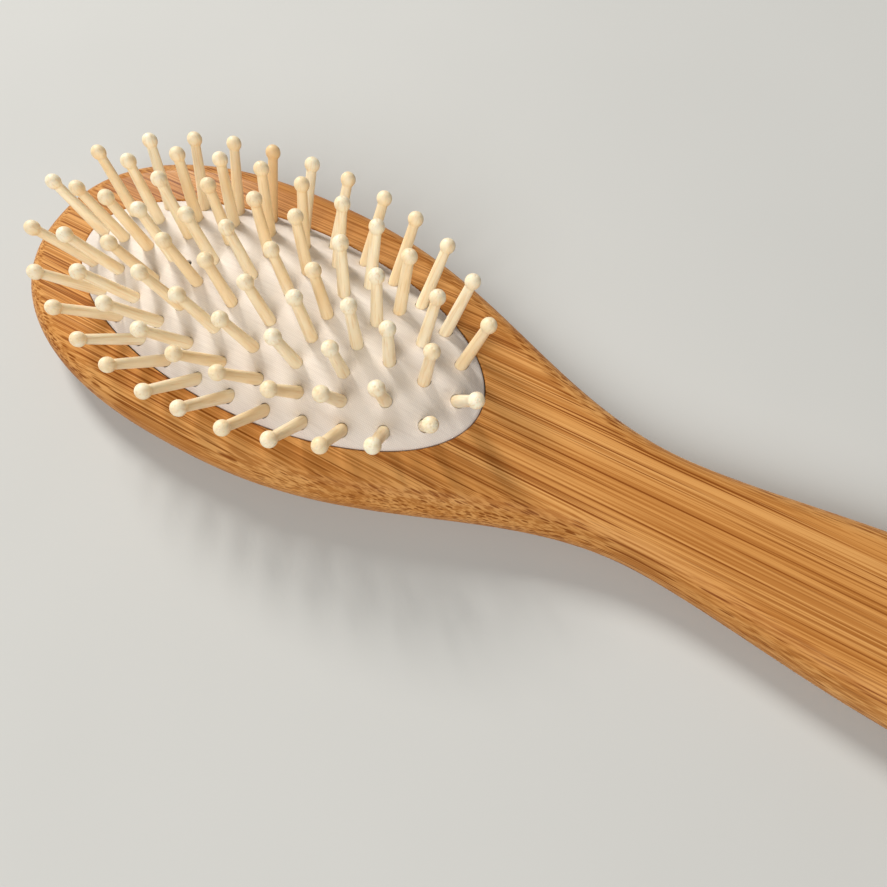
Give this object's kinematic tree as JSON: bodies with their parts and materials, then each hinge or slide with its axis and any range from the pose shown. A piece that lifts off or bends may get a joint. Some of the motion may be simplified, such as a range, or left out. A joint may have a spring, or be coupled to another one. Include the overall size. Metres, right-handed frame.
{
  "type": "paddle brush",
  "caption": "Oval paddle hairbrush with a bamboo body, a domed cloth-faced air cushion, and ball-tipped wooden pins that sink with it.",
  "frame": {"origin": "on the flat back, under the middle of the cushion", "axes": "+X from the head towards the end of the handle, +Y across the brush, +Z out of the back towards the pin tips"},
  "size_m": [0.2276, 0.0618, 0.0319],
  "materials": {
    "bamboo": "satin oiled bamboo, grain along the handle",
    "cushion_rubber": "matt",
    "cushion_cloth": "fine plain weave, matt",
    "pin_wood": "smooth pale turned wood"
  },
  "bodies": {
    "brush_body": {"bamboo_body": "bamboo", "air_cushion": "cushion_rubber", "cushion_cloth": "cushion_cloth"},
    "inner_pins_2": {"inner_pins_2": "pin_wood"},
    "outer_pins_0": {"outer_pins_0": "pin_wood"},
    "outer_pins_1": {"outer_pins_1": "pin_wood"},
    "outer_pins_2": {"outer_pins_2": "pin_wood"},
    "outer_pins_3": {"outer_pins_3": "pin_wood"},
    "outer_pins_4": {"outer_pins_4": "pin_wood"},
    "outer_pins_5": {"outer_pins_5": "pin_wood"},
    "outer_pins_6": {"outer_pins_6": "pin_wood"},
    "outer_pins_7": {"outer_pins_7": "pin_wood"},
    "outer_pins_8": {"outer_pins_8": "pin_wood"},
    "outer_pins_9": {"outer_pins_9": "pin_wood"},
    "outer_pins_10": {"outer_pins_10": "pin_wood"},
    "outer_pins_11": {"outer_pins_11": "pin_wood"},
    "outer_pins_12": {"outer_pins_12": "pin_wood"},
    "outer_pins_13": {"outer_pins_13": "pin_wood"},
    "second_pins_0": {"second_pins_0": "pin_wood"},
    "second_pins_1": {"second_pins_1": "pin_wood"},
    "second_pins_2": {"second_pins_2": "pin_wood"},
    "second_pins_3": {"second_pins_3": "pin_wood"},
    "second_pins_4": {"second_pins_4": "pin_wood"},
    "second_pins_5": {"second_pins_5": "pin_wood"},
    "second_pins_6": {"second_pins_6": "pin_wood"},
    "second_pins_7": {"second_pins_7": "pin_wood"},
    "second_pins_8": {"second_pins_8": "pin_wood"},
    "second_pins_9": {"second_pins_9": "pin_wood"},
    "second_pins_10": {"second_pins_10": "pin_wood"},
    "third_pins_0": {"third_pins_0": "pin_wood"},
    "third_pins_1": {"third_pins_1": "pin_wood"},
    "third_pins_2": {"third_pins_2": "pin_wood"},
    "third_pins_3": {"third_pins_3": "pin_wood"},
    "third_pins_4": {"third_pins_4": "pin_wood"},
    "third_pins_5": {"third_pins_5": "pin_wood"},
    "third_pins_6": {"third_pins_6": "pin_wood"},
    "third_pins_7": {"third_pins_7": "pin_wood"},
    "inner_pins_0": {"inner_pins_0": "pin_wood"},
    "inner_pins_1": {"inner_pins_1": "pin_wood"},
    "inner_pins_3": {"inner_pins_3": "pin_wood"},
    "inner_pins_4": {"inner_pins_4": "pin_wood"},
    "inner_pins_5": {"inner_pins_5": "pin_wood"}
  },
  "joints": [
    {"name": "cushion_press", "type": "slide", "parent": "brush_body", "child": "inner_pins_2", "axis": [0, 0, -1], "range_m": [0, 0.0034], "deforming": ["air_cushion", "cushion_cloth"]},
    {"name": "outer_pins_0_sink", "type": "slide", "parent": "brush_body", "child": "outer_pins_0", "axis": [0, 0, -1], "range_m": [0, 0.0008999]},
    {"name": "outer_pins_1_sink", "type": "slide", "parent": "brush_body", "child": "outer_pins_1", "axis": [0, 0, -1], "range_m": [0, 0.0009136]},
    {"name": "outer_pins_2_sink", "type": "slide", "parent": "brush_body", "child": "outer_pins_2", "axis": [0, 0, -1], "range_m": [0, 0.0009388]},
    {"name": "outer_pins_3_sink", "type": "slide", "parent": "brush_body", "child": "outer_pins_3", "axis": [0, 0, -1], "range_m": [0, 0.0009627]},
    {"name": "outer_pins_4_sink", "type": "slide", "parent": "brush_body", "child": "outer_pins_4", "axis": [0, 0, -1], "range_m": [0, 0.0009819]},
    {"name": "outer_pins_5_sink", "type": "slide", "parent": "brush_body", "child": "outer_pins_5", "axis": [0, 0, -1], "range_m": [0, 0.001]},
    {"name": "outer_pins_6_sink", "type": "slide", "parent": "brush_body", "child": "outer_pins_6", "axis": [0, 0, -1], "range_m": [0, 0.001]},
    {"name": "outer_pins_7_sink", "type": "slide", "parent": "brush_body", "child": "outer_pins_7", "axis": [0, 0, -1], "range_m": [0, 0.001]},
    {"name": "outer_pins_8_sink", "type": "slide", "parent": "brush_body", "child": "outer_pins_8", "axis": [0, 0, -1], "range_m": [0, 0.001]},
    {"name": "outer_pins_9_sink", "type": "slide", "parent": "brush_body", "child": "outer_pins_9", "axis": [0, 0, -1], "range_m": [0, 0.0009819]},
    {"name": "outer_pins_10_sink", "type": "slide", "parent": "brush_body", "child": "outer_pins_10", "axis": [0, 0, -1], "range_m": [0, 0.0009627]},
    {"name": "outer_pins_11_sink", "type": "slide", "parent": "brush_body", "child": "outer_pins_11", "axis": [0, 0, -1], "range_m": [0, 0.0009388]},
    {"name": "outer_pins_12_sink", "type": "slide", "parent": "brush_body", "child": "outer_pins_12", "axis": [0, 0, -1], "range_m": [0, 0.0009136]},
    {"name": "outer_pins_13_sink", "type": "slide", "parent": "brush_body", "child": "outer_pins_13", "axis": [0, 0, -1], "range_m": [0, 0.0008999]},
    {"name": "second_pins_0_sink", "type": "slide", "parent": "brush_body", "child": "second_pins_0", "axis": [0, 0, -1], "range_m": [0, 0.00201]},
    {"name": "second_pins_1_sink", "type": "slide", "parent": "brush_body", "child": "second_pins_1", "axis": [0, 0, -1], "range_m": [0, 0.0021]},
    {"name": "second_pins_2_sink", "type": "slide", "parent": "brush_body", "child": "second_pins_2", "axis": [0, 0, -1], "range_m": [0, 0.00224]},
    {"name": "second_pins_3_sink", "type": "slide", "parent": "brush_body", "child": "second_pins_3", "axis": [0, 0, -1], "range_m": [0, 0.00235]},
    {"name": "second_pins_4_sink", "type": "slide", "parent": "brush_body", "child": "second_pins_4", "axis": [0, 0, -1], "range_m": [0, 0.00241]},
    {"name": "second_pins_5_sink", "type": "slide", "parent": "brush_body", "child": "second_pins_5", "axis": [0, 0, -1], "range_m": [0, 0.00243]},
    {"name": "second_pins_6_sink", "type": "slide", "parent": "brush_body", "child": "second_pins_6", "axis": [0, 0, -1], "range_m": [0, 0.00241]},
    {"name": "second_pins_7_sink", "type": "slide", "parent": "brush_body", "child": "second_pins_7", "axis": [0, 0, -1], "range_m": [0, 0.00235]},
    {"name": "second_pins_8_sink", "type": "slide", "parent": "brush_body", "child": "second_pins_8", "axis": [0, 0, -1], "range_m": [0, 0.00224]},
    {"name": "second_pins_9_sink", "type": "slide", "parent": "brush_body", "child": "second_pins_9", "axis": [0, 0, -1], "range_m": [0, 0.0021]},
    {"name": "second_pins_10_sink", "type": "slide", "parent": "brush_body", "child": "second_pins_10", "axis": [0, 0, -1], "range_m": [0, 0.00201]},
    {"name": "third_pins_0_sink", "type": "slide", "parent": "brush_body", "child": "third_pins_0", "axis": [0, 0, -1], "range_m": [0, 0.00274]},
    {"name": "third_pins_1_sink", "type": "slide", "parent": "brush_body", "child": "third_pins_1", "axis": [0, 0, -1], "range_m": [0, 0.00293]},
    {"name": "third_pins_2_sink", "type": "slide", "parent": "brush_body", "child": "third_pins_2", "axis": [0, 0, -1], "range_m": [0, 0.00309]},
    {"name": "third_pins_3_sink", "type": "slide", "parent": "brush_body", "child": "third_pins_3", "axis": [0, 0, -1], "range_m": [0, 0.00316]},
    {"name": "third_pins_4_sink", "type": "slide", "parent": "brush_body", "child": "third_pins_4", "axis": [0, 0, -1], "range_m": [0, 0.00316]},
    {"name": "third_pins_5_sink", "type": "slide", "parent": "brush_body", "child": "third_pins_5", "axis": [0, 0, -1], "range_m": [0, 0.00309]},
    {"name": "third_pins_6_sink", "type": "slide", "parent": "brush_body", "child": "third_pins_6", "axis": [0, 0, -1], "range_m": [0, 0.00293]},
    {"name": "third_pins_7_sink", "type": "slide", "parent": "brush_body", "child": "third_pins_7", "axis": [0, 0, -1], "range_m": [0, 0.00274]},
    {"name": "inner_pins_0_sink", "type": "slide", "parent": "brush_body", "child": "inner_pins_0", "axis": [0, 0, -1], "range_m": [0, 0.00314]},
    {"name": "inner_pins_1_sink", "type": "slide", "parent": "brush_body", "child": "inner_pins_1", "axis": [0, 0, -1], "range_m": [0, 0.00334]},
    {"name": "inner_pins_3_sink", "type": "slide", "parent": "brush_body", "child": "inner_pins_3", "axis": [0, 0, -1], "range_m": [0, 0.0034]},
    {"name": "inner_pins_4_sink", "type": "slide", "parent": "brush_body", "child": "inner_pins_4", "axis": [0, 0, -1], "range_m": [0, 0.00334]},
    {"name": "inner_pins_5_sink", "type": "slide", "parent": "brush_body", "child": "inner_pins_5", "axis": [0, 0, -1], "range_m": [0, 0.00314]}
  ],
  "couplings": [
    {"joint": "outer_pins_0_sink", "follows": "cushion_press", "ratio": 0.26465},
    {"joint": "outer_pins_1_sink", "follows": "cushion_press", "ratio": 0.2687},
    {"joint": "outer_pins_2_sink", "follows": "cushion_press", "ratio": 0.27611},
    {"joint": "outer_pins_3_sink", "follows": "cushion_press", "ratio": 0.28314},
    {"joint": "outer_pins_4_sink", "follows": "cushion_press", "ratio": 0.28878},
    {"joint": "outer_pins_5_sink", "follows": "cushion_press", "ratio": 0.29265},
    {"joint": "outer_pins_6_sink", "follows": "cushion_press", "ratio": 0.29461},
    {"joint": "outer_pins_7_sink", "follows": "cushion_press", "ratio": 0.29461},
    {"joint": "outer_pins_8_sink", "follows": "cushion_press", "ratio": 0.29265},
    {"joint": "outer_pins_9_sink", "follows": "cushion_press", "ratio": 0.28878},
    {"joint": "outer_pins_10_sink", "follows": "cushion_press", "ratio": 0.28314},
    {"joint": "outer_pins_11_sink", "follows": "cushion_press", "ratio": 0.27611},
    {"joint": "outer_pins_12_sink", "follows": "cushion_press", "ratio": 0.2687},
    {"joint": "outer_pins_13_sink", "follows": "cushion_press", "ratio": 0.26465},
    {"joint": "second_pins_0_sink", "follows": "cushion_press", "ratio": 0.58997},
    {"joint": "second_pins_1_sink", "follows": "cushion_press", "ratio": 0.6188},
    {"joint": "second_pins_2_sink", "follows": "cushion_press", "ratio": 0.65923},
    {"joint": "second_pins_3_sink", "follows": "cushion_press", "ratio": 0.69009},
    {"joint": "second_pins_4_sink", "follows": "cushion_press", "ratio": 0.70873},
    {"joint": "second_pins_5_sink", "follows": "cushion_press", "ratio": 0.71492},
    {"joint": "second_pins_6_sink", "follows": "cushion_press", "ratio": 0.70873},
    {"joint": "second_pins_7_sink", "follows": "cushion_press", "ratio": 0.69009},
    {"joint": "second_pins_8_sink", "follows": "cushion_press", "ratio": 0.65923},
    {"joint": "second_pins_9_sink", "follows": "cushion_press", "ratio": 0.6188},
    {"joint": "second_pins_10_sink", "follows": "cushion_press", "ratio": 0.58997},
    {"joint": "third_pins_0_sink", "follows": "cushion_press", "ratio": 0.8062},
    {"joint": "third_pins_1_sink", "follows": "cushion_press", "ratio": 0.86173},
    {"joint": "third_pins_2_sink", "follows": "cushion_press", "ratio": 0.90908},
    {"joint": "third_pins_3_sink", "follows": "cushion_press", "ratio": 0.93067},
    {"joint": "third_pins_4_sink", "follows": "cushion_press", "ratio": 0.93067},
    {"joint": "third_pins_5_sink", "follows": "cushion_press", "ratio": 0.90908},
    {"joint": "third_pins_6_sink", "follows": "cushion_press", "ratio": 0.86173},
    {"joint": "third_pins_7_sink", "follows": "cushion_press", "ratio": 0.8062},
    {"joint": "inner_pins_0_sink", "follows": "cushion_press", "ratio": 0.92412},
    {"joint": "inner_pins_1_sink", "follows": "cushion_press", "ratio": 0.98171},
    {"joint": "inner_pins_3_sink", "follows": "cushion_press", "ratio": 1},
    {"joint": "inner_pins_4_sink", "follows": "cushion_press", "ratio": 0.98171},
    {"joint": "inner_pins_5_sink", "follows": "cushion_press", "ratio": 0.92412}
  ]
}
